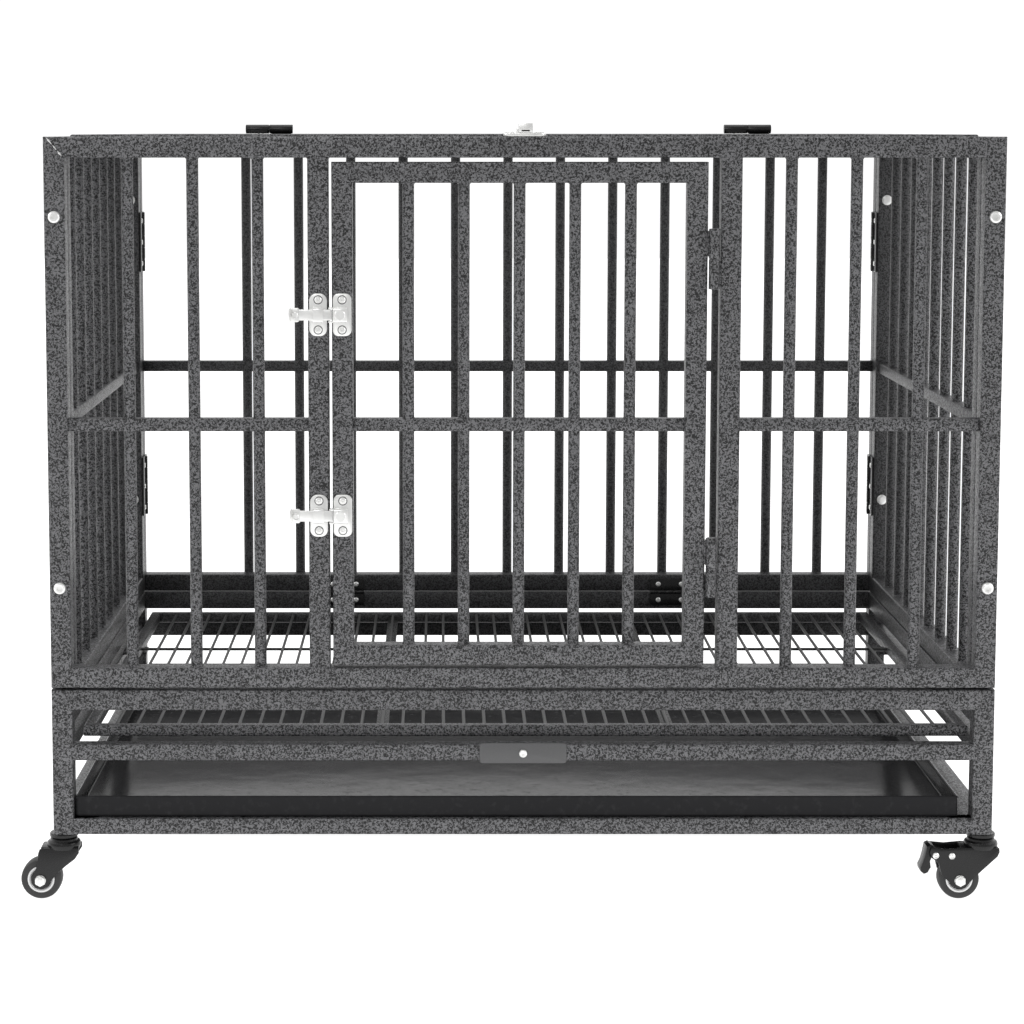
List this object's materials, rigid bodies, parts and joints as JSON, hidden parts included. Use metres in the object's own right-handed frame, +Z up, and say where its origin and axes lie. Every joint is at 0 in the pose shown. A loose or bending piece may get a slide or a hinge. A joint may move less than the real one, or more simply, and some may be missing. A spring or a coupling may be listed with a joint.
{
  "type": "dog crate",
  "caption": "Heavy-duty square-tube dog crate on casters with a barred front door, lifting lid, pull-out floor grate and pull-out tray.",
  "frame": {"origin": "on the floor under the middle of the whole object's box", "axes": "+Z up, -Y out of the front where the door is, +X to the right seen from the front"},
  "size_m": [0.987, 0.6428, 0.7599],
  "materials": {
    "hammertone_paint": "dark grey hammertone paint with silver flecks",
    "black_steel": "satin black paint on steel",
    "gloss_black": "glossy black paint on sheet steel",
    "zinc_plate": "bright zinc plate",
    "tyre_rubber": "smooth black wheel tread",
    "wheel_hub": "pale grey hub"
  },
  "bodies": {
    "frame": {"front_panel": "hammertone_paint", "back_panel": "hammertone_paint", "left_side_panel": "hammertone_paint", "right_side_panel": "hammertone_paint", "base_frame": "hammertone_paint", "door_hinge_lower_post_half": "hammertone_paint", "door_hinge_upper_post_half": "hammertone_paint", "fold_hinge_left_lower": "black_steel", "fold_hinge_left_upper": "black_steel", "fold_hinge_right_lower": "black_steel", "fold_hinge_right_upper": "black_steel", "base_hinge_left": "black_steel", "base_hinge_right": "black_steel", "lid_hinge_left_rail_half": "black_steel", "lid_hinge_right_rail_half": "black_steel", "front_left_caster_mount": "black_steel", "front_right_caster_mount": "black_steel", "rear_left_caster_mount": "black_steel", "rear_right_caster_mount": "black_steel", "corner_bolt_front_left_lower": "zinc_plate", "corner_bolt_front_left_upper": "zinc_plate", "corner_bolt_front_right_lower": "zinc_plate", "corner_bolt_front_right_upper": "zinc_plate", "corner_bolt_rear_left_lower": "zinc_plate", "corner_bolt_rear_left_upper": "zinc_plate", "corner_bolt_rear_right_lower": "zinc_plate", "corner_bolt_rear_right_upper": "zinc_plate", "upper_latch_plate": "zinc_plate", "lower_latch_plate": "zinc_plate", "lid_latch_plate": "zinc_plate", "turn_button_screw": "zinc_plate"},
    "door": {"door": "hammertone_paint", "door_hinge_lower_door_half": "hammertone_paint", "door_hinge_upper_door_half": "hammertone_paint", "upper_latch_keeper": "zinc_plate", "lower_latch_keeper": "zinc_plate"},
    "lid": {"lid": "hammertone_paint", "lid_hinge_left_lid_half": "black_steel", "lid_hinge_right_lid_half": "black_steel", "lid_latch_keeper": "zinc_plate"},
    "upper_latch_bolt": {"upper_latch_bolt": "zinc_plate"},
    "lower_latch_bolt": {"lower_latch_bolt": "zinc_plate"},
    "lid_latch_bolt": {"lid_latch_bolt": "zinc_plate"},
    "tray": {"tray": "gloss_black"},
    "floor_grate": {"floor_grate": "black_steel"},
    "turn_button": {"turn_button": "black_steel"},
    "front_left_swivel": {"front_left_caster_fork": "black_steel"},
    "front_left_wheel": {"front_left_caster_tyre": "tyre_rubber", "front_left_caster_hub": "wheel_hub"},
    "front_right_swivel": {"front_right_caster_fork": "black_steel"},
    "front_right_wheel": {"front_right_caster_tyre": "tyre_rubber", "front_right_caster_hub": "wheel_hub"},
    "rear_left_swivel": {"rear_left_caster_fork": "black_steel"},
    "rear_left_wheel": {"rear_left_caster_tyre": "tyre_rubber", "rear_left_caster_hub": "wheel_hub"},
    "rear_right_swivel": {"rear_right_caster_fork": "black_steel"},
    "rear_right_wheel": {"rear_right_caster_tyre": "tyre_rubber", "rear_right_caster_hub": "wheel_hub"},
    "front_right_brake": {"front_right_caster_brake": "black_steel"},
    "rear_left_brake": {"rear_left_caster_brake": "black_steel"}
  },
  "joints": [
    {"name": "door_swing", "type": "hinge", "parent": "frame", "child": "door", "pos_m": [0.18175, -0.30335, 0.479], "axis": [0, 0, 1], "range_deg": [0, 170]},
    {"name": "lid_swing", "type": "hinge", "parent": "frame", "child": "lid", "pos_m": [0, 0.29515, 0.75455], "axis": [-1, 0, 0], "range_deg": [0, 105]},
    {"name": "upper_latch_slide", "type": "slide", "parent": "frame", "child": "upper_latch_bolt", "axis": [1, 0, 0], "range_m": [0, 0.012]},
    {"name": "lower_latch_slide", "type": "slide", "parent": "frame", "child": "lower_latch_bolt", "axis": [1, 0, 0], "range_m": [0, 0.012]},
    {"name": "lid_latch_slide", "type": "slide", "parent": "frame", "child": "lid_latch_bolt", "axis": [0, 1, 0], "range_m": [0, 0.012]},
    {"name": "turn_button_turn", "type": "hinge", "parent": "frame", "child": "turn_button", "pos_m": [0, -0.30335, 0.148], "axis": [0, 1, 0], "range_deg": [-90, 0]},
    {"name": "tray_slide", "type": "slide", "parent": "frame", "child": "tray", "axis": [0, -1, 0], "range_m": [0, 0.5]},
    {"name": "grate_slide", "type": "slide", "parent": "frame", "child": "floor_grate", "axis": [0, -1, 0], "range_m": [0, 0.5]},
    {"name": "front_left_swivel_turn", "type": "hinge", "parent": "frame", "child": "front_left_swivel", "pos_m": [-0.4515, -0.29135, 0.054], "axis": [0, 0, 1], "continuous": true},
    {"name": "front_left_wheel_spin", "type": "hinge", "parent": "front_left_swivel", "child": "front_left_wheel", "pos_m": [-0.4735, -0.29135, 0.02], "axis": [0, 1, 0], "continuous": true},
    {"name": "front_right_swivel_turn", "type": "hinge", "parent": "frame", "child": "front_right_swivel", "pos_m": [0.4515, -0.29135, 0.054], "axis": [0, 0, 1], "continuous": true},
    {"name": "front_right_wheel_spin", "type": "hinge", "parent": "front_right_swivel", "child": "front_right_wheel", "pos_m": [0.4295, -0.29135, 0.02], "axis": [0, 1, 0], "continuous": true},
    {"name": "front_right_brake_press", "type": "hinge", "parent": "front_right_swivel", "child": "front_right_brake", "pos_m": [0.4035, -0.29135, 0.0484], "axis": [0, 1, 0], "range_deg": [0, 15]},
    {"name": "rear_left_swivel_turn", "type": "hinge", "parent": "frame", "child": "rear_left_swivel", "pos_m": [-0.4515, 0.30465, 0.054], "axis": [0, 0, 1], "continuous": true},
    {"name": "rear_left_wheel_spin", "type": "hinge", "parent": "rear_left_swivel", "child": "rear_left_wheel", "pos_m": [-0.4295, 0.30465, 0.02], "axis": [0, 1, 0], "continuous": true},
    {"name": "rear_left_brake_press", "type": "hinge", "parent": "rear_left_swivel", "child": "rear_left_brake", "pos_m": [-0.4035, 0.30465, 0.0484], "axis": [0, -1, 0], "range_deg": [0, 15]},
    {"name": "rear_right_swivel_turn", "type": "hinge", "parent": "frame", "child": "rear_right_swivel", "pos_m": [0.4515, 0.30465, 0.054], "axis": [0, 0, 1], "continuous": true},
    {"name": "rear_right_wheel_spin", "type": "hinge", "parent": "rear_right_swivel", "child": "rear_right_wheel", "pos_m": [0.4735, 0.30465, 0.02], "axis": [0, 1, 0], "continuous": true}
  ]
}
